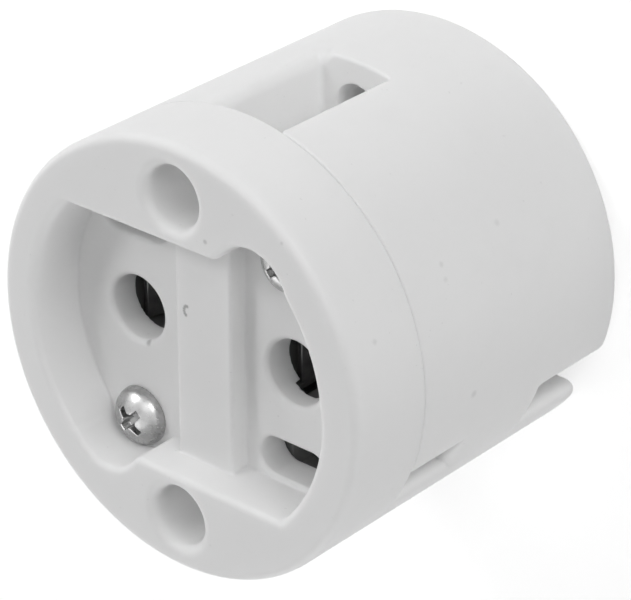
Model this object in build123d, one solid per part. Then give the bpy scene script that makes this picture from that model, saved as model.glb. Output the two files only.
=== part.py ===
from build123d import *
import os
from math import hypot, sqrt

# Ceramic lamp socket for a two-pin discharge lamp, in millimetres.
# The origin is the centre of the rear face. +Z points out of the lamp mouth, X runs through the
# two pin holes and Y through the two fixing holes. Apart from the rib, which stands a little to
# one side, the socket looks the same after half a turn about Z, so each paired piece is built on
# the +X side and turned for the -X side.

# Ceramic body: a front plate on a rear housing
outer_diameter = 27.0
housing_length = 17.95
plate_thickness = 5.9
front_edge_chamfer = 0.35
rear_edge_chamfer = 0.35
seam_edge_chamfer = 0.15

# Lamp recess in the front plate, with a relief for each screw head and a rib across its floor
recess_diameter = 21.5
recess_across_flats = 14.8
recess_depth = 3.45
recess_edge_chamfer = 0.28
relief_offset_x = 5.65
relief_offset_y = 6.25
relief_diameter = 5.3
relief_corner_radius = 0.35
relief_blend_radius = 3.0
rib_width = 4.2
rib_offset = 0.33
rib_height = 1.25
rib_edge_chamfer = 0.2

# Lamp pins and their holes
pin_pitch = 12.0
pin_hole_diameter = 4.05
hole_edge_chamfer = 0.2

# Fixing holes, a little inside the middle of the rim, the nut pockets that open them to the side
# and the smaller holes from those pockets to the rear face
fixing_inset = 0.24
fixing_hole_diameter = 3.75
pocket_length = 9.4
pocket_left_room = 0.2
pocket_right_room = 1.1
pocket_floor_room = 0.35
pocket_edge_chamfer = 0.35
rear_hole_diameter = 2.8
rear_hole_offset_x = 0.42
rear_hole_rise = 0.35

# Screws and nuts that hold the plate to the housing
screw_offset_x = 5.8
screw_offset_y = 6.98
screw_diameter = 2.0
screw_length = 16.0
screw_head_diameter = 3.7
screw_head_height = 1.3
screw_crown_chamfer = 0.6
screw_hole_clearance = 0.4
cross_width = 2.0
cross_arm = 0.5
cross_depth = 0.8
nut_across_flats = 4.0
nut_height = 1.6
nut_pocket_clearance = 0.2
screw_tip_beyond_nut = 0.2

# Terminal channels: access slot in the plate, side slot at the seam and notch at the rear rim
terminal_offset_x = 5.9
terminal_offset_y = 5.88
channel_depth = 4.8
access_slot_length = 5.0
access_slot_width = 2.4
lead_offset_y = 6.0
side_slot_width = 1.9
notch_width = 2.4
duct_from_rim = 2.6
notch_depth = 5.8
notch_corner_radius = 0.9

# Pin contacts: one bent strip each, with two leaves for the pin and a tongue for the lead
strip_thickness = 0.5
contact_width = 4.6
leaf_gap = 3.0
throat_gap = 2.0
mouth_gap = 3.4
leaf_top_below_seam = 0.3
throat_below_top = 1.9
straight_below_throat = 2.0
base_bend_radius = 0.8
leaf_bend_radius = 1.5
chamber_depth = 9.0
chamber_clearance = 0.45
tongue_depth_below_floor = 2.0
tongue_slot_clearance = 0.2
tongue_width = 3.8
tongue_reach = 2.1
ear_width = 0.9
ear_above_seam = 0.4
leaf_room_depth = 0.42
terminal_room_depth = 0.77
terminal_room_edge = 1.1
collar_wall = 0.45
collar_height = 1.0

# Steel springs that back the leaves
spring_thickness = 0.3
spring_width = 3.2
spring_gap = 0.05
spring_above_throat = 0.6

# Terminal screws and their clamp washers
terminal_screw_diameter = 2.5
terminal_screw_length = 5.0
terminal_head_diameter = 3.8
terminal_head_height = 1.5
driver_slot_width = 0.7
driver_slot_depth = 0.8
clamp_washer_side = 3.6
clamp_washer_thickness = 0.6
thread_clearance = 0.02
washer_hole_clearance = 0.2

# How far a cutter passes the surface that it opens, and how closely two places have to agree
cut_margin = 1.0
match_tolerance = 1e-3

# Places worked out from the sizes above
outer_radius = outer_diameter / 2
seam_z = housing_length
front_z = housing_length + plate_thickness
recess_floor_z = front_z - recess_depth
pin_x = pin_pitch / 2
fixing_y = (recess_across_flats / 2 + outer_radius) / 2 - fixing_inset
pocket_floor_y = fixing_y - fixing_hole_diameter / 2 - pocket_floor_room
terminal_y = -terminal_offset_y
terminal_floor_z = seam_z - channel_depth
chamber_floor_z = seam_z - chamber_depth
clip_base_z = chamber_floor_z + spring_thickness + spring_gap
leaf_top_z = seam_z - leaf_top_below_seam
throat_z = leaf_top_z - throat_below_top
straight_top_z = throat_z - straight_below_throat
leaf_outer = leaf_gap / 2 + strip_thickness
tongue_x = pin_x - leaf_outer
chamber_half_x = leaf_outer + spring_gap + spring_thickness + chamber_clearance
chamber_half_y = contact_width / 2 + chamber_clearance
lead_y = -lead_offset_y
duct_x = sqrt(outer_radius**2 - lead_offset_y**2) - duct_from_rim
screw_tip_z = recess_floor_z - screw_length
nut_bottom_z = screw_tip_z + screw_tip_beyond_nut
nut_top_z = nut_bottom_z + nut_height
tongue_top_z = terminal_floor_z + strip_thickness
tongue_inner_y = terminal_y + tongue_width / 2
tongue_outer_y = terminal_y - tongue_width / 2
tongue_end_x = terminal_offset_x + tongue_reach
ear_y = -(contact_width / 2 + chamber_clearance + ear_width / 2 + tongue_slot_clearance)
washer_top_z = tongue_top_z + clamp_washer_thickness


def half_turn(piece):
    """The same piece on the other side of the socket."""
    return Rot(0, 0, 180) * piece


def both_sides(piece):
    return [piece, half_turn(piece)]


def prism(outline, low_z, high_z):
    return extrude(Plane.XY.offset(low_z) * outline, amount=high_z - low_z)


def block(x_span, y_span, z_span):
    size = [high - low for low, high in (x_span, y_span, z_span)]
    corner = Pos(x_span[0], y_span[0], z_span[0])
    return corner * Box(*size, align=(Align.MIN, Align.MIN, Align.MIN))


def cut_on_both_sides(body, cutter):
    for tool in both_sides(cutter):
        body -= tool
    return body


def edges_where(body, wanted):
    return [edge for edge in body.edges() if wanted(edge)]


def distance_from_axis(edge, share=0.5):
    point = edge.position_at(share)
    return hypot(point.X, point.Y)


def lies_at(edge, z):
    """True for an edge that lies in the horizontal plane at this height."""
    box = edge.bounding_box()
    return abs(box.min.Z - z) < match_tolerance and abs(box.max.Z - z) < match_tolerance


def on_rim(edge):
    """True for an edge that lies on the outer cylinder."""
    gaps = [abs(distance_from_axis(edge, share) - outer_radius) for share in (0, 0.5, 1)]
    return max(gaps) < match_tolerance


def upright(edge):
    box = edge.bounding_box()
    return box.size.X < match_tolerance and box.size.Y < match_tolerance


def ends_relief(corner):
    """True for a corner of the recess outline where the relief of a screw head begins or ends."""
    centre_x = relief_offset_x if corner.Y > 0 else -relief_offset_x
    centre_y = relief_offset_y if corner.Y > 0 else -relief_offset_y
    from_centre = hypot(corner.X - centre_x, corner.Y - centre_y)
    return abs(from_centre - relief_diameter / 2) < match_tolerance


def on_round_wall(corner):
    return abs(hypot(corner.X, corner.Y) - recess_diameter / 2) < match_tolerance


def recess_outline():
    """Round recess with two flats, widened round the screw heads."""
    outline = Circle(recess_diameter / 2) & Rectangle(recess_diameter, recess_across_flats)
    for relief in both_sides(Pos(relief_offset_x, relief_offset_y) * Circle(relief_diameter / 2)):
        outline += relief
    ends = [corner for corner in outline.vertices() if ends_relief(corner)]
    at_flats = [corner for corner in ends if abs(abs(corner.Y) - recess_across_flats / 2) < match_tolerance]
    outline = fillet(at_flats, relief_corner_radius)
    at_round_wall = [corner for corner in outline.vertices() if ends_relief(corner) and on_round_wall(corner)]
    return fillet(at_round_wall, relief_blend_radius)


def is_circle(edge, radius, z):
    round_edge = edge.geom_type == GeomType.CIRCLE and lies_at(edge, z)
    return round_edge and abs(edge.radius - radius) < match_tolerance


def chamfered_hole(place, radius, mouth_z):
    """Cutter for a hole through the plate whose mouth is broken by a cone."""
    cone = Cone(radius, radius + hole_edge_chamfer, hole_edge_chamfer)
    mouth = place * Pos(0, 0, mouth_z - hole_edge_chamfer / 2) * cone
    return prism(place * Circle(radius), seam_z, front_z) + mouth


def make_front_plate():
    plate = Pos(0, 0, seam_z + plate_thickness / 2) * Cylinder(outer_radius, plate_thickness)
    for z, size in ((front_z, front_edge_chamfer), (seam_z, seam_edge_chamfer)):
        plate = chamfer(edges_where(plate, lambda edge: is_circle(edge, outer_radius, z)), size)
    plate -= prism(recess_outline(), recess_floor_z, front_z)
    flat_rim = outer_radius - front_edge_chamfer
    recess_edges = edges_where(
        plate, lambda edge: lies_at(edge, front_z) and not is_circle(edge, flat_rim, front_z))
    plate = chamfer(recess_edges, recess_edge_chamfer)
    rib_top_z = recess_floor_z + rib_height
    rib_outline = Pos(rib_offset, 0) * Rectangle(rib_width, recess_across_flats)
    rib = prism(rib_outline, recess_floor_z, rib_top_z)
    rib_sides = edges_where(
        rib, lambda edge: lies_at(edge, rib_top_z) and abs(edge.center().X - rib_offset) > match_tolerance)
    plate += chamfer(rib_sides, rib_edge_chamfer)
    plate = cut_on_both_sides(plate, chamfered_hole(Pos(0, fixing_y), fixing_hole_diameter / 2, front_z))
    plate = cut_on_both_sides(plate, chamfered_hole(Pos(pin_x, 0), pin_hole_diameter / 2, recess_floor_z))
    access_place = Pos(terminal_offset_x, terminal_y)
    access_slot = SlotOverall(access_slot_length, access_slot_width)
    plate = cut_on_both_sides(plate, prism(access_place * access_slot, seam_z, front_z))
    screw_hole = Circle((screw_diameter + screw_hole_clearance) / 2)
    screw_place = Pos(screw_offset_x, screw_offset_y)
    plate = cut_on_both_sides(plate, prism(screw_place * screw_hole, seam_z, front_z))
    room_x_span = (pin_x - chamber_half_x, pin_x + chamber_half_x)
    leaf_room = block(room_x_span, (-terminal_room_edge, chamber_half_y), (seam_z, seam_z + leaf_room_depth))
    terminal_room = block(
        room_x_span,
        (tongue_outer_y - tongue_slot_clearance, -terminal_room_edge),
        (seam_z, seam_z + terminal_room_depth))
    return cut_on_both_sides(plate, leaf_room + terminal_room)


def nut_pocket():
    """Pocket in the side behind one fixing hole, open at the seam."""
    hole_radius = fixing_hole_diameter / 2
    return block(
        (-hole_radius - pocket_left_room, hole_radius + pocket_right_room),
        (pocket_floor_y, outer_radius + cut_margin),
        (seam_z - pocket_length, seam_z))


def terminal_chamber():
    """Room for the tongue and its screw, with the channel that opens it to the side."""
    clear = tongue_slot_clearance
    chamber = block(
        (tongue_x - clear, tongue_end_x + clear),
        (tongue_outer_y - clear, tongue_inner_y + clear),
        (terminal_floor_z, seam_z))
    channel = block(
        (tongue_end_x, outer_radius),
        (lead_y - side_slot_width / 2, lead_y + side_slot_width / 2),
        (terminal_floor_z, seam_z))
    tongue_slot = block(
        (tongue_x - clear, tongue_x + strip_thickness + clear),
        (tongue_outer_y - clear, -chamber_half_y),
        (terminal_floor_z - tongue_depth_below_floor - clear, seam_z))
    collar_radius = terminal_screw_diameter / 2 + collar_wall + clear
    well_depth = terminal_screw_length + clear
    well = prism(
        Pos(terminal_offset_x, terminal_y) * Circle(collar_radius),
        terminal_floor_z - well_depth, terminal_floor_z)
    return chamber + channel + tongue_slot + well


def lead_way():
    """Notch in the rear rim where a lead leaves, and the duct from its inner end up to the channel."""
    half_width = notch_width / 2
    notch = block((duct_x, outer_radius), (lead_y - half_width, lead_y + half_width), (0, notch_depth))
    return notch + prism(Pos(duct_x, lead_y) * Circle(half_width), 0, terminal_floor_z)


def screw_way():
    """Through hole for one assembly screw, with the hexagonal pocket of its nut."""
    place = Pos(screw_offset_x, screw_offset_y)
    hole = prism(place * Circle((screw_diameter + screw_hole_clearance) / 2), 0, seam_z)
    pocket_apothem = (nut_across_flats + nut_pocket_clearance) / 2
    pocket = prism(place * RegularPolygon(pocket_apothem, 6, major_radius=False), 0, nut_top_z)
    return hole + pocket


def make_rear_housing():
    housing = Pos(0, 0, housing_length / 2) * Cylinder(outer_radius, housing_length)
    housing = cut_on_both_sides(housing, lead_way())
    rim_corners = edges_where(housing, lambda edge: upright(edge) and on_rim(edge))
    housing = fillet(rim_corners, notch_corner_radius)
    rear_outline = housing.faces().sort_by(Axis.Z)[0].outer_wire()
    housing = chamfer(rear_outline.edges(), rear_edge_chamfer)
    housing = cut_on_both_sides(housing, nut_pocket())
    pocket_end_z = seam_z - pocket_length
    pocket_mouths = edges_where(
        housing, lambda edge: on_rim(edge)
        and pocket_end_z - match_tolerance < edge.bounding_box().min.Z < seam_z - match_tolerance)
    housing = chamfer(pocket_mouths, pocket_edge_chamfer)
    contact_chamber = block(
        (pin_x - chamber_half_x, pin_x + chamber_half_x),
        (-chamber_half_y, chamber_half_y),
        (chamber_floor_z, seam_z))
    rear_hole_place = Pos(rear_hole_offset_x, fixing_y + rear_hole_rise)
    rear_hole = prism(rear_hole_place * Circle(rear_hole_diameter / 2), 0, pocket_end_z)
    for cutter in (rear_hole, contact_chamber, terminal_chamber(), screw_way()):
        housing = cut_on_both_sides(housing, cutter)
    return housing


def leaf_path(offset, top_z, base_z):
    """Middle line of a U-shaped strip whose face stands this far outside the leaves' inner face."""
    throat = throat_gap / 2 + offset
    straight = leaf_gap / 2 + offset
    mouth_share = (top_z - throat_z) / throat_below_top
    mouth = throat + (mouth_gap - throat_gap) / 2 * mouth_share
    right = [(straight, base_z), (straight, straight_top_z), (throat, throat_z), (mouth, top_z)]
    left = [(-x, z) for x, z in reversed(right)]
    bends = [leaf_bend_radius, leaf_bend_radius, base_bend_radius + offset]
    return FilletPolyline(*left, *right, radius=bends + bends[::-1])


def bent_strip(offset, thickness, width, top_z, base_z):
    """U-shaped strip round the pin's axis, swept across its width in Y."""
    side_view = Plane(origin=(pin_x, width / 2, 0), x_dir=(1, 0, 0), z_dir=(0, -1, 0))
    path = leaf_path(offset + thickness / 2, top_z, base_z + thickness / 2)
    return extrude(side_view * trace(path, thickness), amount=width)


def make_pin_contact():
    contact = bent_strip(0, strip_thickness, contact_width, leaf_top_z, clip_base_z)
    inner_span = (tongue_x, tongue_x + strip_thickness)
    lug_bottom_z = terminal_floor_z - tongue_depth_below_floor
    contact += block(inner_span, (tongue_outer_y, 0), (lug_bottom_z, tongue_top_z))
    contact += block(
        inner_span, (ear_y - ear_width / 2, ear_y + ear_width / 2), (lug_bottom_z, seam_z + ear_above_seam))
    contact += block(
        (tongue_x, tongue_end_x), (tongue_outer_y, tongue_inner_y), (terminal_floor_z, tongue_top_z))
    screw_place = Pos(terminal_offset_x, terminal_y)
    hole_radius = terminal_screw_diameter / 2 + thread_clearance
    collar = screw_place * Circle(hole_radius + collar_wall)
    contact += prism(collar, terminal_floor_z - collar_height, terminal_floor_z)
    return contact - prism(screw_place * Circle(hole_radius), terminal_floor_z - collar_height, tongue_top_z)


def make_contact_spring():
    outside = strip_thickness + spring_gap
    top_z = throat_z + spring_above_throat
    return bent_strip(outside, spring_thickness, spring_width, top_z, chamber_floor_z)


def make_terminal_screw():
    place = Pos(terminal_offset_x, terminal_y)
    shank_radius = terminal_screw_diameter / 2
    screw = prism(place * Circle(shank_radius), washer_top_z - terminal_screw_length, washer_top_z)
    head_top_z = washer_top_z + terminal_head_height
    screw += prism(place * Circle(terminal_head_diameter / 2), washer_top_z, head_top_z)
    driver_slot = Rectangle(terminal_head_diameter, driver_slot_width)
    return screw - prism(place * driver_slot, head_top_z - driver_slot_depth, head_top_z)


def make_clamp_washer():
    place = Pos(terminal_offset_x, terminal_y)
    hole = Circle((terminal_screw_diameter + washer_hole_clearance) / 2)
    outline = Rectangle(clamp_washer_side, clamp_washer_side) - hole
    return prism(place * outline, tongue_top_z, washer_top_z)


def make_assembly_screw():
    """Pan-head screw with a cross recess, seated on the recess floor."""
    place = Pos(screw_offset_x, screw_offset_y)
    top_z = recess_floor_z + screw_head_height
    head = prism(Circle(screw_head_diameter / 2), recess_floor_z, top_z)
    head = chamfer(edges_where(head, lambda edge: lies_at(edge, top_z)), screw_crown_chamfer)
    shank = prism(Circle(screw_diameter / 2), screw_tip_z, recess_floor_z)
    cross = Rectangle(cross_width, cross_arm) + Rectangle(cross_arm, cross_width)
    return place * (head + shank - prism(cross, top_z - cross_depth, top_z))


def make_assembly_nut():
    place = Pos(screw_offset_x, screw_offset_y)
    hexagon = RegularPolygon(nut_across_flats / 2, 6, major_radius=False)
    outline = hexagon - Circle(screw_diameter / 2 + thread_clearance)
    return prism(place * outline, nut_bottom_z, nut_top_z)


pieces = {
    "front_plate": make_front_plate(),
    "rear_housing": make_rear_housing(),
    "right_pin_contact": make_pin_contact(),
    "left_pin_contact": half_turn(make_pin_contact()),
    "right_contact_spring": make_contact_spring(),
    "left_contact_spring": half_turn(make_contact_spring()),
    "terminal_screws": Compound(children=both_sides(make_terminal_screw())),
    "wire_clamp_washers": Compound(children=both_sides(make_clamp_washer())),
    "assembly_screws": Compound(children=both_sides(make_assembly_screw())),
    "assembly_nuts": Compound(children=both_sides(make_assembly_nut())),
}

os.makedirs("parts", exist_ok=True)
for name, piece in pieces.items():
    export_step(piece, f"parts/{name}.step")
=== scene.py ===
from math import ceil, cos, radians, sin, tau

import bmesh
import bpy
import numpy as np
from mathutils import Matrix, Vector


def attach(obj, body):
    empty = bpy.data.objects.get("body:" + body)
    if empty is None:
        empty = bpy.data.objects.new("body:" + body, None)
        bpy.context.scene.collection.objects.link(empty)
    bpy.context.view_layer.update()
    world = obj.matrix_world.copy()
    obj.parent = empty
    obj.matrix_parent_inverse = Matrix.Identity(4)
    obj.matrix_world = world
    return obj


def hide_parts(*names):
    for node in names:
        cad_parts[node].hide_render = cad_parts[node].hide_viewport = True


# Ceramic lamp socket on a white ground. Lengths are in millimetres until they go into a mesh.
# The ceramic and the screws are drawn again with the rounded edges that the solids leave out: each is
# a field that is negative inside the shape, and a net of quads is laid over its zero surface.
MM = 0.001
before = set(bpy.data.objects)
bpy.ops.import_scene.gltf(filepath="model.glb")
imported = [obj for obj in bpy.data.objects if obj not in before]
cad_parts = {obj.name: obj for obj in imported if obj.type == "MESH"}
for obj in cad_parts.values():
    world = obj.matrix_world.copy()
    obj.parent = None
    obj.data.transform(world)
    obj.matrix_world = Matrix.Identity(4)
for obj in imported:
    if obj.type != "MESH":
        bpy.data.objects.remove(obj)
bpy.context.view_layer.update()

# Sizes of the ceramic, as in the solids. Only the lean of the recess wall on the left and the steps of
# the rooms over the contacts, each a span along Y and a height, differ: they follow the photograph.
outer_radius = 13.5
seam_z = 17.95
front_z = 23.85
recess_floor_z = 20.4
recess_radius = 10.75
recess_half_flats = 7.4
left_wall_lean = 0.1
relief_x, relief_y = 5.65, 6.25
relief_radius = 2.65
rib_middle_x = 0.33
rib_half_width = 2.1
rib_half_length = 8.0
rib_top_z = 21.65
pin_x = 6.0
pin_hole_radius = 2.025
fixing_y = 10.21
fixing_hole_radius = 1.875
terminal_x, terminal_y = 5.9, -5.88
access_half_length = 2.5
access_half_width = 1.2
screw_x, screw_y = 5.8, 6.98
screw_hole_radius = 1.2
room_x = (3.2, 8.8)
deepest_room_z = 18.72
rooms_over_contact = (
    ((-1.75, 2.75), 18.37),
    ((-3.6, -1.75), deepest_room_z),
    ((-7.98, -3.6), 18.25),
)
pocket_x = (-2.075, 2.975)
pocket_floor_y = 7.985
pocket_end_z = 8.55
rear_hole_x, rear_hole_y = 0.42, 10.56
rear_hole_radius = 1.4
lead_y = -6.0
side_slot_half_width = 0.95
terminal_floor_z = 13.15
notch_half_width = 1.2
notch_depth = 5.8
duct_x = 9.49
chamber_half_y = 2.75
chamber_floor_z = 8.95
terminal_chamber_x, terminal_chamber_y = (3.8, 8.2), (-7.98, -3.78)
tongue_slot_x, tongue_slot_y, tongue_slot_z = (3.8, 4.7), (-7.98, -2.75), 10.95
well_radius = 1.9
well_floor_z = 7.95
nut_pocket_apothem = 2.1
nut_top_z = 6.2

# Radii of the rounded edges of the ceramic
front_rim_round = 0.58
rear_rim_round = 0.6
seam_round = 0.16
recess_rim_round = 0.6
flat_rim_round = 0.42
recess_corner_round = 0.1
recess_floor_round = 0.12
relief_blend_round = 0.35
rib_top_round = 0.2
rib_foot_round = 0.15
hole_mouth_round = 0.34
fixing_mouth_round = 0.7
slot_mouth_round = 0.25
pocket_mouth_round = 0.2
pocket_left_round = 0.9
pocket_corner_round = 0.25
side_slot_near_round = 0.25
side_slot_far_round = 1.2
notch_lip_round = 1.1
plain_edge_round = 0.08

# Where a radius changes along its edge: over this width from the flats of the recess to its round wall,
# over this length squared in x * y towards a relief, and over this width left of this place in a pocket
rim_round_change = 0.6
relief_reach = 5.0
pocket_left_change = 0.7
pocket_left_start = -1.2

# Assembly screws: domed heads with a tapered cross recess, and hexagon nuts. A taper is the depth in
# which that size of the recess would lose one millimetre. No corner of a nut is further from its axis
# than this share of its half flats.
screw_radius, screw_pitch = 1.0, 0.4
screw_tip_z = 4.4
screw_turns = (40, 47)
head_radius, head_height, head_side = 1.85, 1.3, 0.4
head_edge_round = 0.25
cross_half_length, cross_half_width, cross_depth = 1.0, 0.25, 0.8
cross_core_radius = 0.5
cross_length_taper, cross_width_taper, cross_core_taper = 4, 10, 3
cross_edge_round = 0.06
nut_half_flats, nut_height = 2.0, 1.6
nut_corner_share = 1.2
nut_face_radius = 1.95
nut_chamfer_angle = radians(30)
nut_hole_radius = 1.02

# Terminal screws: cheese heads with a driver slot
terminal_seat_z = 14.25
terminal_tip_z = 9.25
terminal_radius, terminal_pitch = 1.25, 0.45
terminal_head_radius, terminal_head_height = 1.9, 1.5
driver_half_width, driver_depth = 0.35, 0.8
terminal_edge_round = 0.18

# Threads: depth of the groove in pitches, and how much thinner the tip is as a share of the radius
thread_depth_share = 0.54
tip_taper_share = 0.1

# Nets: spacing across the ceramic, spacing along Z away from its edges and close to them, spacing over
# the small metal parts, and room left round a shape
plate_step = 0.17
housing_step = 0.21
coarse_step = 0.5
fine_step = 0.1
edge_reach = 0.7
metal_step = 0.07
net_margin = 0.35

# How the points of a net settle on the surface: half the step that measures a slope, rounds, furthest
# move along an axis in a round, least square of a slope, and least length by which a normal is divided
slope_step = 0.004
settling_rounds = 4
furthest_move = 0.1
least_slope_squared = 0.05
least_normal_length = 1e-6

# Bent strips and washers: an edge that is sharp in the solids is eased a little
metal_edge_round = 0.05
sharp_angle = radians(24)
weld_distance = 0.002
flat_angle = radians(0.4)
round_segments = 3

# Small marks on the ceramic: middle, radius and strength. Scuffs of the side wall are given by their
# angle from +Y towards +X in degrees and their distance behind the front face. A mark has its full
# strength within this share of its radius, and a noise makes its outline uneven.
mark_core_share = 0.2
mark_unevenness = 0.04
mark_noise_scale = 5.0
specks_of_plate = (
    ((2.65, 8.48, 23.85), 0.22, 0.3),
    ((8.16, 10.18, 23.7), 0.2, 0.35),
    ((-5.22, -2.01, 20.3), 0.3, 0.45),
    ((8.38, -2.18, 20.4), 0.2, 0.3),
    ((8.96, 0.14, 20.4), 0.2, 0.3),
    ((8.82, -3.88, 20.4), 0.2, 0.3),
)
scuffs = (
    (58.5, 14.5, 0.3, 0.1),
    (60.8, 9.2, 0.25, 0.12),
    (64.5, 9.1, 0.25, 0.1),
    (69.2, 2.5, 0.25, 0.12),
    (96.3, 10.3, 0.35, 0.15),
)

# Hook-shaped mark on the rib: dots along an ellipse, from the first angle on in equal steps, in degrees
hook_middle_x, hook_middle_y = -0.9, 2.1
hook_half_width, hook_half_height = 0.2, 0.3
hook_dots = 7
hook_first_angle, hook_angle_step = 80, 28
hook_dot_radius, hook_dot_strength = 0.16, 0.6

# Limits of the painted shade in the contact chambers of the housing: where the painted shade is full and
# where it ends
chamber_outer_x = (8.82, 9.0)
chamber_inner_x = (3.15, 3.0)
chamber_y = (8.0, 8.1)
chamber_low_z = (7.8, 7.4)
chamber_high_z = (17.96, 18.1)

# Looks of the ceramic. The scale of a noise is its number of cells to the millimetre, and a ramp is two
# pairs of noise and grey. Light scatters below the surface by this share and as far as this reach.
cloud_scale = 0.35
cloud_tones = ((0.3, 0.93), (0.7, 0.955))
speck_scale, speck_detail = 3.2, 1.0
speck_shares = ((0.76, 0.0), (0.82, 0.16))
# The chamber grey is painted shade: the grey that the insides of the contact chambers of the housing are
# darkened to.
speck_grey, mark_grey, painted_chamber_shade_grey = 0.4, 0.12, 0.26
ceramic_specular = 0.3
scatter_share, scatter_reach = 0.7, 0.5
ceramic_gloss_scale = 2.5
ceramic_roughness = ((0.3, 0.42), (0.7, 0.55))
ceramic_grain_scale, ceramic_grain_detail = 9.0, 5.0
ceramic_grain_strength, ceramic_grain_depth = 0.08, 0.02

# Looks of the metal. Its tones and its roughness run between these two ends of a noise.
noise_ends = (0.3, 0.7)
metal_tone_scale, metal_gloss_scale, metal_grain_scale = 1.5, 4.0, 12.0
metal_grain_strength, metal_grain_depth = 0.1, 0.01

# Numbers of the sockets of a mix node that hold colours
mix_first, mix_second, mix_result = 6, 7, 2

# Camera, as fitted to the outlines of the photograph
camera_place = Vector((109.432, 87.770, 138.712))
camera_looks = Vector((-0.57666, -0.46743, -0.67005))
camera_up = Vector((-0.3047, 0.88403, -0.35448))
camera_lens = 184.187
sensor_width = 36.0
clip_near, clip_far = 1, 10000

# Surroundings: their brightness where they are seen and the strength of their light elsewhere, and the
# grey of the ground, its glow where it is seen and half its size
backdrop_strength = 1.0
ambient_strength = 0.02
floor_grey = 0.8
floor_glow = 0.55
floor_half_size = 1000

# Soft lights, all at one distance: name, azimuth from +X towards +Y and height above the ground in
# degrees, width, and power in watts
softbox_distance = 400
softboxes = (
    ("key", 128, 42, 110, 0.29),
    ("upper_right_low", 45, 8, 220, 0.53),
    ("upper_right", 45, 32, 220, 0.23),
    ("upper_right_high", 60, 58, 220, 0.13),
    ("upper_left_low", 135, 8, 220, 0.26),
    ("upper_left", 135, 32, 220, 0.1),
    ("left_low", 180, 8, 220, 0.31),
    ("lower_left", 225, 32, 220, 0.21),
    ("lower_left_high", 240, 58, 220, 0.12),
    ("below_low", 270, 8, 220, 0.55),
    ("lower_right_low", 315, 8, 220, 0.2),
    ("lower_right_high", 300, 58, 220, 0.03),
)


def round_max(a, b, radius):
    """What two shapes share, with a rounded edge where their surfaces cross."""
    over = np.hypot(np.maximum(a + radius, 0), np.maximum(b + radius, 0))
    return np.minimum(-radius, np.maximum(a, b)) + over


def round_min(a, b, radius):
    """Two shapes as one, with a hollow fillet where their surfaces cross."""
    under = np.hypot(np.maximum(radius - a, 0), np.maximum(radius - b, 0))
    return np.maximum(radius, np.minimum(a, b)) - under


def shared(*shapes):
    """What several shapes share, with sharp edges."""
    return np.maximum.reduce(shapes)


def cut(body, tool, radius):
    """A body without the shape of a tool, with a rounded edge where their surfaces cross."""
    return round_max(body, -tool, radius)


def between(value, span):
    """All that lies inside a span."""
    return np.maximum(span[0] - value, value - span[1])


def share_over(value, width):
    """Nought to one over this width, and one half where the value is nought."""
    return np.clip(0.5 + value / width, 0, 1)


def with_half_turn(shape, x, y, z):
    """A shape together with itself after half a turn about Z."""
    return np.minimum(shape(x, y, z), shape(-x, -y, z))


def post(centre_x, centre_y, radius):
    """Endless upright cylinder."""
    return lambda x, y, z: np.hypot(x - centre_x, y - centre_y) - radius


def hexagon(x, y, half_flats):
    """Endless upright hexagonal bar with two of its flats square to Y."""
    widest = np.abs(y)
    for direction in (1, -1):
        slanted = x * cos(radians(30)) + direction * y * sin(radians(30))
        widest = np.maximum(widest, np.abs(slanted))
    return widest - half_flats


def access_slot(x, y, z):
    straight = access_half_length - access_half_width
    along = np.maximum(np.abs(x - terminal_x) - straight, 0)
    return np.hypot(along, y - terminal_y) - access_half_width


def room_over_contact(x, y, z):
    """Stepped hollow in the underside of the plate above one contact and its terminal."""
    rooms = [np.maximum(between(y, span), z - top) for span, top in rooms_over_contact]
    return np.maximum(between(x, room_x), np.minimum.reduce(rooms))


def plate_shape(x, y, z):
    from_axis = np.hypot(x, y)
    lean = left_wall_lean * np.clip(-x / recess_radius, 0, 1)
    round_wall = from_axis - recess_radius - lean * (z - recess_floor_z)
    flat_wall = np.abs(y) - recess_half_flats
    outline = round_max(round_wall, flat_wall, recess_corner_round)
    at_round_wall = share_over(round_wall - flat_wall, rim_round_change)
    away_from_relief = share_over(-x * y, relief_reach**2)
    rim_round = flat_rim_round + (recess_rim_round - flat_rim_round) * at_round_wall * away_from_relief
    relief = with_half_turn(post(relief_x, relief_y, relief_radius), x, y, z)
    outline = round_min(outline, relief, relief_blend_round)
    recess = round_max(outline, recess_floor_z - z, recess_floor_round)
    rib = round_max(np.abs(x - rib_middle_x) - rib_half_width, z - rib_top_z, rib_top_round)
    rib = np.maximum(rib, np.abs(y) - rib_half_length)
    plate = round_max(from_axis - outer_radius, z - front_z, front_rim_round)
    plate = cut(plate, recess, rim_round)
    plate = round_min(plate, rib, rib_foot_round)
    at_mouth = z > (deepest_room_z + recess_floor_z) / 2
    holes = (
        (post(pin_x, 0, pin_hole_radius), hole_mouth_round),
        (post(0, fixing_y, fixing_hole_radius), fixing_mouth_round),
        (access_slot, slot_mouth_round),
        (post(screw_x, screw_y, screw_hole_radius), plain_edge_round),
        (room_over_contact, plain_edge_round))
    for hole, mouth_round in holes:
        edge_round = np.where(at_mouth, mouth_round, plain_edge_round)
        plate = cut(plate, with_half_turn(hole, x, y, z), edge_round)
    return round_max(plate, seam_z - z, seam_round)


def nut_pocket(x, y, z):
    pocket = round_max(between(x, pocket_x), pocket_end_z - z, pocket_corner_round)
    return round_max(pocket, pocket_floor_y - y, pocket_corner_round)


def side_slot(x, y, z):
    across = np.abs(y - lead_y) - side_slot_half_width
    return shared(across, terminal_floor_z - z, terminal_chamber_x[1] - x)


def lead_notch(x, y, z):
    return shared(np.abs(y - lead_y) - notch_half_width, z - notch_depth, duct_x - x)


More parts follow.
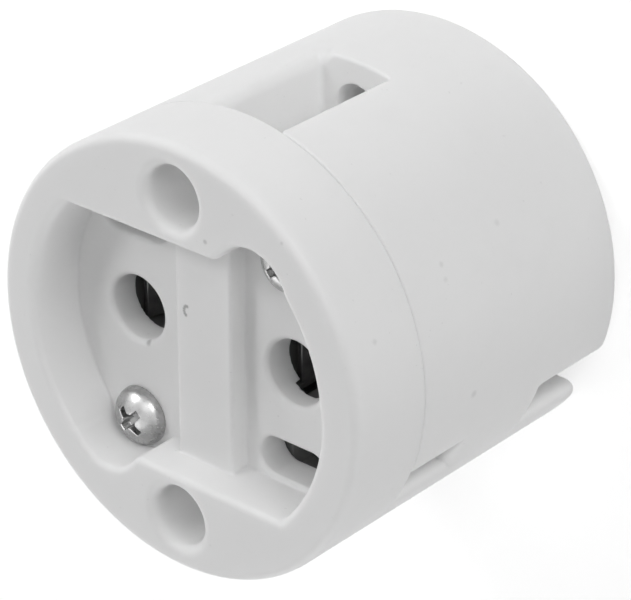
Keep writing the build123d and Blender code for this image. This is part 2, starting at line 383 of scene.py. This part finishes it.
def inner_rooms(x, y, z):
    """All that is hollow in the housing for one contact, its terminal, one screw and one fixing."""
    chamber = shared(between(x, room_x), np.abs(y) - chamber_half_y, chamber_floor_z - z)
    terminal = shared(
        between(x, terminal_chamber_x), between(y, terminal_chamber_y), terminal_floor_z - z)
    tongue = shared(between(x, tongue_slot_x), between(y, tongue_slot_y), tongue_slot_z - z)
    well = post(terminal_x, terminal_y, well_radius)(x, y, z)
    well = shared(well, between(z, (well_floor_z, seam_z)))
    duct = shared(post(duct_x, lead_y, notch_half_width)(x, y, z), z - terminal_floor_z)
    screw_hole = post(screw_x, screw_y, screw_hole_radius)(x, y, z)
    nut_room = shared(hexagon(x - screw_x, y - screw_y, nut_pocket_apothem), z - nut_top_z)
    rear_hole = shared(post(rear_hole_x, rear_hole_y, rear_hole_radius)(x, y, z), z - seam_z)
    return np.minimum.reduce([chamber, terminal, tongue, well, duct, screw_hole, nut_room, rear_hole])


def housing_shape(x, y, z):
    housing = np.hypot(x, y) - outer_radius
    for turn in (1, -1):
        left = np.clip((pocket_left_start - turn * x) / pocket_left_change, 0, 1)
        mouth_round = pocket_mouth_round + (pocket_left_round - pocket_mouth_round) * left
        housing = cut(housing, nut_pocket(turn * x, turn * y, z), mouth_round)
        near = share_over(turn * y - lead_y, 2 * side_slot_half_width)
        slot_round = side_slot_far_round + (side_slot_near_round - side_slot_far_round) * near
        housing = cut(housing, side_slot(turn * x, turn * y, z), slot_round)
    housing = cut(housing, with_half_turn(lead_notch, x, y, z), notch_lip_round)
    housing = round_max(housing, -z, rear_rim_round)
    housing = round_max(housing, z - seam_z, seam_round)
    return cut(housing, with_half_turn(inner_rooms, x, y, z), plain_edge_round)


def pan_head(x, y, z):
    """Screw head above its seat at z = 0."""
    from_axis = np.hypot(x, y)
    rise = head_height - head_side
    ball_radius = (head_radius**2 + rise**2) / (2 * rise)
    dome = np.hypot(from_axis, z - head_height + ball_radius) - ball_radius
    head = np.maximum(round_max(from_axis - head_radius, dome, head_edge_round), -z)
    depth = head_height - z
    half_length = cross_half_length - depth / cross_length_taper
    half_width = cross_half_width - depth / cross_width_taper
    arms = np.minimum(
        np.maximum(np.abs(x) - half_length, np.abs(y) - half_width),
        np.maximum(np.abs(y) - half_length, np.abs(x) - half_width))
    recess = np.minimum(arms, from_axis - cross_core_radius + depth / cross_core_taper)
    return cut(head, np.maximum(recess, depth - cross_depth), cross_edge_round)


def cheese_head(x, y, z):
    """Slotted screw head above its seat at z = 0."""
    head = round_max(np.hypot(x, y) - terminal_head_radius, z - terminal_head_height, terminal_edge_round)
    slot = np.maximum(np.abs(y) - driver_half_width, terminal_head_height - driver_depth - z)
    return cut(np.maximum(head, -z), slot, cross_edge_round)


def hexagon_nut(x, y, z):
    """Nut that stands on z = 0, with the corners of both faces turned off."""
    from_middle = np.abs(z - nut_height / 2) - nut_height / 2
    from_axis = np.hypot(x, y)
    cone = (from_axis - nut_face_radius) * sin(nut_chamfer_angle) + from_middle * cos(nut_chamfer_angle)
    nut = shared(hexagon(x, y, nut_half_flats), from_middle, cone)
    return cut(nut, from_axis - nut_hole_radius, plain_edge_round)


def spaced(low, high, coarse, edges=()):
    """Places along an axis, coarsely spaced but finer close to these edges."""
    places = [low]
    while places[-1] < high:
        close = any(abs(places[-1] - edge) < edge_reach for edge in edges)
        places.append(places[-1] + (fine_step if close else coarse))
    return np.array(places)


def slope(shape, points):
    """Direction in which the field grows at each of these points."""
    parts = []
    for axis in range(3):
        step = np.zeros(3)
        step[axis] = slope_step
        parts.append(shape(*(points + step).T) - shape(*(points - step).T))
    return np.stack(parts, axis=1) / (2 * slope_step)


def net_points(value, axes, cells):
    """One point in each of these cells, at the mean of the places where its edges cross zero."""
    total = np.zeros((len(cells), 3))
    crossings = np.zeros((len(cells), 1))
    corners = [np.array([i, j, k]) for i in (0, 1) for j in (0, 1) for k in (0, 1)]
    for start in corners:
        for axis in np.flatnonzero(start == 0):
            end = start + np.eye(3, dtype=int)[axis]
            first, second = cells + start, cells + end
            low, high = value[tuple(first.T)], value[tuple(second.T)]
            crosses = (low < 0) != (high < 0)
            share = np.where(crosses, low, 0) / np.where(crosses, low - high, 1)
            place = np.stack([axes[side][first[:, side]] for side in range(3)], axis=1)
            place[:, axis] += share * (axes[axis][second[:, axis]] - axes[axis][first[:, axis]])
            total += crosses[:, None] * place
            crossings += crosses[:, None]
    return total / crossings


def net_quads(inside, number):
    """Quads that part the inside from the outside, facing outward."""
    quads = []
    for axis in range(3):
        across = np.eye(3, dtype=int)[(axis + 1) % 3]
        up = np.eye(3, dtype=int)[(axis + 2) % 3]
        before = np.take(inside, range(inside.shape[axis] - 1), axis=axis)
        after = np.take(inside, range(1, inside.shape[axis]), axis=axis)
        edges = np.argwhere(before != after)
        around = [edges - across - up, edges - up, edges, edges - across]
        ring = np.stack([number[tuple(cell.T)] for cell in around], axis=1)
        outward = before[tuple(edges.T)]
        quads.append(np.where(outward[:, None], ring, ring[:, ::-1]))
    return np.concatenate(quads)


def net_over(shape, axes):
    """Points, quads and normals of a net over the zero surface of a field."""
    value = shape(*np.meshgrid(*axes, indexing="ij"))
    inside = value < 0
    cell_counts = [count - 1 for count in value.shape]
    filled = np.zeros(cell_counts, dtype=int)
    for corner in np.ndindex(2, 2, 2):
        filled += inside[tuple(slice(start, start + count) for start, count in zip(corner, cell_counts))]
    cells = np.argwhere((filled > 0) & (filled < 8))
    number = np.full(cell_counts, -1)
    number[tuple(cells.T)] = np.arange(len(cells))
    points = net_points(value, axes, cells)
    for _ in range(settling_rounds):
        steep = slope(shape, points)
        size = np.maximum((steep**2).sum(axis=1, keepdims=True), least_slope_squared)
        move = -shape(*points.T)[:, None] * steep / size
        points += np.clip(move, -furthest_move, furthest_move)
    normals = slope(shape, points)
    normals /= np.maximum(np.linalg.norm(normals, axis=1, keepdims=True), least_normal_length)
    return points, net_quads(inside, number), normals


def threaded_shank(low_z, high_z, radius, pitch):
    """Points, faces and blank normals of a threaded shank on the Z axis that ends in a flat tip."""
    rows_per_turn, around = 6, 24
    depth = thread_depth_share * pitch
    rows = ceil((high_z - low_z) / pitch + 1) * rows_per_turn
    points = []
    for row in range(rows + rows_per_turn + 1):
        for step in range(around):
            angle = tau * step / around
            height = low_z + (row / rows_per_turn + step / around - 1) * pitch
            crest = abs(2 * (row % rows_per_turn) / rows_per_turn - 1)
            lead_in = min(max((height - low_z) / pitch, 0), 1)
            reach = radius - depth + depth * crest * lead_in - tip_taper_share * radius * (1 - lead_in)
            points.append((reach * cos(angle), reach * sin(angle), min(max(height, low_z), high_z)))
    faces = [tuple(reversed(range(around)))]
    for row in range(rows):
        for step in range(around):
            here = row * around + step
            beside = here + 1 if step < around - 1 else (row + rows_per_turn) * around
            faces.append((here, beside, beside + around, here + around))
    return np.array(points), faces, np.zeros((len(points), 3))


def placed(part, place, turn=0.0):
    """A part turned by this angle and moved to this place."""
    points, faces, normals = part
    spin = np.array(Matrix.Rotation(turn, 3, "Z")).T
    return points @ spin + np.array(place), faces, normals @ spin


def mesh_piece(name, parts):
    """One object from several sets of points, faces and normals. A blank normal is worked out."""
    points, faces, normals = [], [], []
    for part_points, part_faces, part_normals in parts:
        first = len(points)
        points.extend((part_points * MM).tolist())
        normals.extend(part_normals.tolist())
        faces.extend([[first + corner for corner in face] for face in part_faces])
    mesh = bpy.data.meshes.new(name)
    mesh.from_pydata(points, [], faces)
    mesh.polygons.foreach_set("use_smooth", [True] * len(mesh.polygons))
    mesh.normals_split_custom_set_from_vertices(normals)
    return bpy.data.objects.new(name, mesh)


def metal_net(shape, radius, height):
    across = spaced(-radius - net_margin, radius + net_margin, metal_step)
    return net_over(shape, (across, across, spaced(-net_margin, height + net_margin, metal_step)))


def eased_copy(node, piece_name):
    """A copy of a metal solid whose sharp edges are eased."""
    mesh = bpy.data.meshes.new(piece_name)
    shape = bmesh.new()
    shape.from_mesh(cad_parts[node].data)
    bmesh.ops.remove_doubles(shape, verts=shape.verts, dist=weld_distance * MM)
    bmesh.ops.dissolve_limit(
        shape, angle_limit=flat_angle, verts=shape.verts, edges=shape.edges, delimit={"NORMAL"})
    weights = shape.edges.layers.float.new("bevel_weight_edge")
    for edge in shape.edges:
        if edge.is_manifold and edge.calc_face_angle() > sharp_angle:
            edge[weights] = 1
    for face in shape.faces:
        face.smooth = True
    shape.to_mesh(mesh)
    shape.free()
    piece = bpy.data.objects.new(piece_name, mesh)
    rounding = piece.modifiers.new("rounded edges", "BEVEL")
    rounding.limit_method = "WEIGHT"
    rounding.width = metal_edge_round * MM
    rounding.segments = round_segments
    rounding.use_clamp_overlap = False
    piece.modifiers.new("even shading", "WEIGHTED_NORMAL")
    return piece


def show(piece, node, material):
    """Put a piece in the place of a solid."""
    bpy.context.scene.collection.objects.link(piece)
    piece.data.materials.append(material)
    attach(piece, "root")
    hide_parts(node)


def new_material(name):
    """A node material with its principled shader, and its object coordinates in millimetres."""
    material = bpy.data.materials.new(name)
    material.use_nodes = True
    nodes = material.node_tree.nodes
    links = material.node_tree.links
    shader = nodes["Principled BSDF"]
    coordinates = nodes.new("ShaderNodeTexCoord")
    scaled = nodes.new("ShaderNodeVectorMath")
    scaled.operation = "SCALE"
    scaled.inputs["Scale"].default_value = 1 / MM
    links.new(coordinates.outputs["Object"], scaled.inputs[0])
    return material, shader, scaled.outputs[0]


def noise(material, place, scale, detail=3.0, roughness=0.55):
    node = material.node_tree.nodes.new("ShaderNodeTexNoise")
    node.inputs["Scale"].default_value = scale
    node.inputs["Detail"].default_value = detail
    node.inputs["Roughness"].default_value = roughness
    material.node_tree.links.new(place, node.inputs["Vector"])
    return node.outputs["Fac"]


def ramp(material, value, stops):
    """Greys between two stops, each of them a value and its grey."""
    node = material.node_tree.nodes.new("ShaderNodeValToRGB")
    for element, (position, grey) in zip(node.color_ramp.elements, stops):
        element.position = position
        element.color = (grey, grey, grey, 1)
    material.node_tree.links.new(value, node.inputs["Fac"])
    return node.outputs["Color"]


def bump(material, shader, height, strength, distance):
    node = material.node_tree.nodes.new("ShaderNodeBump")
    node.inputs["Strength"].default_value = strength
    node.inputs["Distance"].default_value = distance * MM
    material.node_tree.links.new(height, node.inputs["Height"])
    material.node_tree.links.new(node.outputs["Normal"], shader.inputs["Normal"])


def calculated(material, operation, first, second):
    """Sum, product or the like of two values, either of which may be a plain number."""
    node = material.node_tree.nodes.new("ShaderNodeMath")
    node.operation = operation
    for socket, value in zip(node.inputs, (first, second)):
        if isinstance(value, float):
            socket.default_value = value
        else:
            material.node_tree.links.new(value, socket)
    return node.outputs[0]


def faded(material, value, full, none):
    """One at the first limit and beyond it, falling smoothly to nought at the second."""
    node = material.node_tree.nodes.new("ShaderNodeMapRange")
    node.interpolation_type = "SMOOTHSTEP"
    for socket, number in (("From Min", full), ("From Max", none), ("To Min", 1.0), ("To Max", 0.0)):
        node.inputs[socket].default_value = number
    material.node_tree.links.new(value, node.inputs["Value"])
    return node.outputs["Result"]


def mixed(material, share, first, second):
    """The first colour, with this share of the second, which is a plain grey."""
    node = material.node_tree.nodes.new("ShaderNodeMix")
    node.data_type = "RGBA"
    material.node_tree.links.new(share, node.inputs["Factor"])
    material.node_tree.links.new(first, node.inputs[mix_first])
    node.inputs[mix_second].default_value = (second, second, second, 1)
    return node.outputs[mix_result]


def marks_mask(material, place, marks):
    """Strength of the small dark marks, whose outlines a noise makes uneven."""
    nodes = material.node_tree.nodes
    links = material.node_tree.links
    unevenness = nodes.new("ShaderNodeTexNoise")
    unevenness.inputs["Scale"].default_value = mark_noise_scale
    links.new(place, unevenness.inputs["Vector"])
    moved = nodes.new("ShaderNodeVectorMath")
    moved.operation = "MULTIPLY_ADD"
    moved.inputs[1].default_value = (mark_unevenness,) * 3
    links.new(unevenness.outputs["Color"], moved.inputs[0])
    links.new(place, moved.inputs[2])
    total = None
    for centre, radius, strength in marks:
        apart = nodes.new("ShaderNodeVectorMath")
        apart.operation = "DISTANCE"
        apart.inputs[1].default_value = [part + mark_unevenness / 2 for part in centre]
        links.new(moved.outputs[0], apart.inputs[0])
        soft_dot = faded(material, apart.outputs["Value"], mark_core_share * radius, radius)
        mark = calculated(material, "MULTIPLY", soft_dot, strength)
        total = calculated(material, "MAXIMUM", total, mark) if total else mark
    return total


def painted_chamber_shade_mask(material, place):
    """Share of painted shade: one inside the two contact chambers of the housing, nought elsewhere."""
    parts = material.node_tree.nodes.new("ShaderNodeSeparateXYZ")
    material.node_tree.links.new(place, parts.inputs[0])
    from_middle = calculated(material, "ABSOLUTE", parts.outputs["X"], 0.0)
    across = calculated(material, "ABSOLUTE", parts.outputs["Y"], 0.0)
    inside = faded(material, from_middle, *chamber_outer_x)
    for value, limits in (
            (from_middle, chamber_inner_x), (across, chamber_y), (parts.outputs["Z"], chamber_low_z),
            (parts.outputs["Z"], chamber_high_z)):
        inside = calculated(material, "MULTIPLY", inside, faded(material, value, *limits))
    return inside


def make_ceramic(name, marks, has_painted_chamber_shade=False):
    """Fired white ceramic: faint clouds in the tone, small marks, a fine grain and a soft gloss, and
    where asked painted shade that darkens the contact chambers of the housing.
    """
    material, shader, place = new_material(name)
    links = material.node_tree.links
    colour = ramp(material, noise(material, place, cloud_scale), cloud_tones)
    specks = ramp(material, noise(material, place, speck_scale, speck_detail), speck_shares)
    colour = mixed(material, specks, colour, speck_grey)
    colour = mixed(material, marks_mask(material, place, marks), colour, mark_grey)
    # Painted shade: the insides of the contact chambers are darkened towards a grey.
    if has_painted_chamber_shade:
        colour = mixed(material, painted_chamber_shade_mask(material, place), colour, painted_chamber_shade_grey)
    links.new(colour, shader.inputs["Base Color"])
    shader.inputs["Specular IOR Level"].default_value = ceramic_specular
    shader.inputs["Subsurface Weight"].default_value = scatter_share
    shader.inputs["Subsurface Radius"].default_value = (1, 1, 1)
    shader.inputs["Subsurface Scale"].default_value = scatter_reach * MM
    gloss = noise(material, place, ceramic_gloss_scale)
    links.new(ramp(material, gloss, ceramic_roughness), shader.inputs["Roughness"])
    grain = noise(material, place, ceramic_grain_scale, ceramic_grain_detail)
    bump(material, shader, grain, ceramic_grain_strength, ceramic_grain_depth)
    return material


def make_metal(name, tones, roughness):
    """Plated metal with a faintly uneven tone and gloss."""
    material, shader, place = new_material(name)
    links = material.node_tree.links
    shader.inputs["Metallic"].default_value = 1.0
    tone = noise(material, place, metal_tone_scale)
    links.new(ramp(material, tone, zip(noise_ends, tones)), shader.inputs["Base Color"])
    gloss = noise(material, place, metal_gloss_scale)
    links.new(ramp(material, gloss, zip(noise_ends, roughness)), shader.inputs["Roughness"])
    grain = noise(material, place, metal_grain_scale)
    bump(material, shader, grain, metal_grain_strength, metal_grain_depth)
    return material


def add_camera():
    data = bpy.data.cameras.new("photo_camera")
    data.lens = camera_lens
    data.sensor_width = sensor_width
    data.clip_start = clip_near * MM
    data.clip_end = clip_far * MM
    camera = bpy.data.objects.new("photo_camera", data)
    back = -camera_looks.normalized()
    up = (camera_up - camera_up.dot(back) * back).normalized()
    axes = Matrix((up.cross(back), up, back)).transposed()
    camera.matrix_world = Matrix.Translation(camera_place * MM) @ axes.to_4x4()
    bpy.context.scene.collection.objects.link(camera)
    bpy.context.scene.camera = camera


def add_softbox(name, azimuth, elevation, size, power):
    """Round soft light that shines on the middle of the socket from this direction."""
    data = bpy.data.lights.new(name, "AREA")
    data.shape = "DISK"
    data.size = size * MM
    data.energy = power
    light = bpy.data.objects.new(name, data)
    flat = cos(radians(elevation))
    toward = Vector((flat * cos(radians(azimuth)), flat * sin(radians(azimuth)), sin(radians(elevation))))
    middle = Vector((0, 0, front_z / 2))
    light.location = (middle + toward * softbox_distance) * MM
    light.rotation_mode = "QUATERNION"
    light.rotation_quaternion = toward.to_track_quat("Z", "Y")
    bpy.context.scene.collection.objects.link(light)


def seen_strength(tree, seen, otherwise):
    """One strength for the camera, reflections and what shows through, and another for all other rays."""
    path = tree.nodes.new("ShaderNodeLightPath")
    total = path.outputs["Is Camera Ray"]
    for kind in ("Is Glossy Ray", "Is Transmission Ray"):
        both = tree.nodes.new("ShaderNodeMath")
        both.operation = "ADD"
        both.use_clamp = True
        tree.links.new(total, both.inputs[0])
        tree.links.new(path.outputs[kind], both.inputs[1])
        total = both.outputs[0]
    strength = tree.nodes.new("ShaderNodeMapRange")
    strength.inputs["To Min"].default_value = otherwise
    strength.inputs["To Max"].default_value = seen
    tree.links.new(total, strength.inputs["Value"])
    return strength.outputs["Result"]


def add_floor():
    """Pale ground that shows white to the camera and keeps the shadow of the socket."""
    mesh = bpy.data.meshes.new("floor")
    half = floor_half_size * MM
    mesh.from_pydata(
        [(-half, -half, 0), (half, -half, 0), (half, half, 0), (-half, half, 0)], [], [(0, 1, 2, 3)])
    floor = bpy.data.objects.new("floor", mesh)
    bpy.context.scene.collection.objects.link(floor)
    material = bpy.data.materials.new("floor_look")
    material.use_nodes = True
    nodes = material.node_tree.nodes
    links = material.node_tree.links
    nodes.clear()
    diffuse = nodes.new("ShaderNodeBsdfDiffuse")
    diffuse.inputs["Color"].default_value = (floor_grey, floor_grey, floor_grey, 1)
    glow = nodes.new("ShaderNodeEmission")
    glow.inputs["Color"].default_value = (1, 1, 1, 1)
    links.new(seen_strength(material.node_tree, floor_glow, 0.0), glow.inputs["Strength"])
    both = nodes.new("ShaderNodeAddShader")
    links.new(diffuse.outputs[0], both.inputs[0])
    links.new(glow.outputs[0], both.inputs[1])
    output = nodes.new("ShaderNodeOutputMaterial")
    links.new(both.outputs[0], output.inputs["Surface"])
    mesh.materials.append(material)


def add_world():
    """White surroundings that light the socket only a little."""
    world = bpy.data.worlds.new("studio")
    bpy.context.scene.world = world
    world.use_nodes = True
    background = world.node_tree.nodes["Background"]
    background.inputs["Color"].default_value = (1, 1, 1, 1)
    strength = seen_strength(world.node_tree, backdrop_strength, ambient_strength)
    world.node_tree.links.new(strength, background.inputs["Strength"])


hook_mark = []
for step in range(hook_dots):
    angle = radians(hook_first_angle + hook_angle_step * step)
    middle_x = hook_middle_x + hook_half_width * cos(angle)
    middle_y = hook_middle_y + hook_half_height * sin(angle)
    hook_mark.append(((middle_x, middle_y, rib_top_z), hook_dot_radius, hook_dot_strength))
side_marks = []
for angle, depth, radius, strength in scuffs:
    middle_x, middle_y = outer_radius * sin(radians(angle)), outer_radius * cos(radians(angle))
    side_marks.append(((middle_x, middle_y, front_z - depth), radius, strength))
plate_ceramic = make_ceramic("plate_ceramic_look", [*hook_mark, *specks_of_plate, *side_marks])
# The ceramic of the housing carries painted shade in its contact chambers.
housing_ceramic = make_ceramic("housing_ceramic_painted_shade_look", side_marks, has_painted_chamber_shade=True)
screw_metal = make_metal("screw_look", tones=(0.4, 0.52), roughness=(0.24, 0.36))
# The contact strips, their springs, the terminal screws and the washers have plated metal with a tone
# darker than bright plating: the extra darkness is painted shade of the chambers they sit in.
contact_metal_with_painted_shade = make_metal("contact_look", tones=(0.26, 0.36), roughness=(0.3, 0.45))
terminal_metal_with_painted_shade = make_metal("terminal_look", tones=(0.26, 0.36), roughness=(0.3, 0.45))

reach = outer_radius + net_margin
across = spaced(-reach, reach, plate_step)
along = spaced(
    seam_z - net_margin, front_z + net_margin, coarse_step, (seam_z, front_z, recess_floor_z, rib_top_z))
plate = mesh_piece("plate_body", [net_over(plate_shape, (across, across, along))])
show(plate, "front_plate", plate_ceramic)
across = spaced(-reach, reach, housing_step)
along = spaced(-net_margin, seam_z + net_margin, coarse_step, (0, seam_z, pocket_end_z, terminal_floor_z))
housing = mesh_piece("housing_body", [net_over(housing_shape, (across, across, along))])
show(housing, "rear_housing", housing_ceramic)

screw_head = metal_net(pan_head, head_radius, head_height)
screw_shank = threaded_shank(screw_tip_z, recess_floor_z, screw_radius, screw_pitch)
terminal_head = metal_net(cheese_head, terminal_head_radius, terminal_head_height)
terminal_shank = threaded_shank(terminal_tip_z, terminal_seat_z, terminal_radius, terminal_pitch)
nut = metal_net(hexagon_nut, nut_half_flats * nut_corner_share, nut_height)
screws, nuts, terminals = [], [], []
for side, turn in zip((1, -1), screw_turns):
    screws.append(placed(screw_head, (side * screw_x, side * screw_y, recess_floor_z), radians(turn)))
    screws.append(placed(screw_shank, (side * screw_x, side * screw_y, 0)))
    nuts.append(placed(nut, (side * screw_x, side * screw_y, nut_top_z - nut_height)))
    terminals.append(placed(terminal_head, (side * terminal_x, side * terminal_y, terminal_seat_z)))
    terminals.append(placed(terminal_shank, (side * terminal_x, side * terminal_y, 0)))
show(mesh_piece("assembly_screw_pair", screws), "assembly_screws", screw_metal)
show(mesh_piece("assembly_nut_pair", nuts), "assembly_nuts", screw_metal)
show(mesh_piece("terminal_screw_pair", terminals), "terminal_screws", terminal_metal_with_painted_shade)

bent_pieces = (
    ("right_pin_contact", "right_contact_strip", contact_metal_with_painted_shade, "contact_strip"),
    ("left_pin_contact", "left_contact_strip", contact_metal_with_painted_shade, "contact_strip"),
    ("right_contact_spring", "right_leaf_spring", contact_metal_with_painted_shade, "spring_steel"),
    ("left_contact_spring", "left_leaf_spring", contact_metal_with_painted_shade, "spring_steel"),
    ("wire_clamp_washers", "clamp_washer_pair", terminal_metal_with_painted_shade, "terminal_steel"),
)
for node, piece_name, material, slot in bent_pieces:
    show(eased_copy(node, piece_name), node, material)

add_camera()
add_floor()
add_world()
for name, azimuth, elevation, size, power in softboxes:
    add_softbox(name, azimuth, elevation, size, power)
bpy.context.scene.view_settings.view_transform = "Standard"
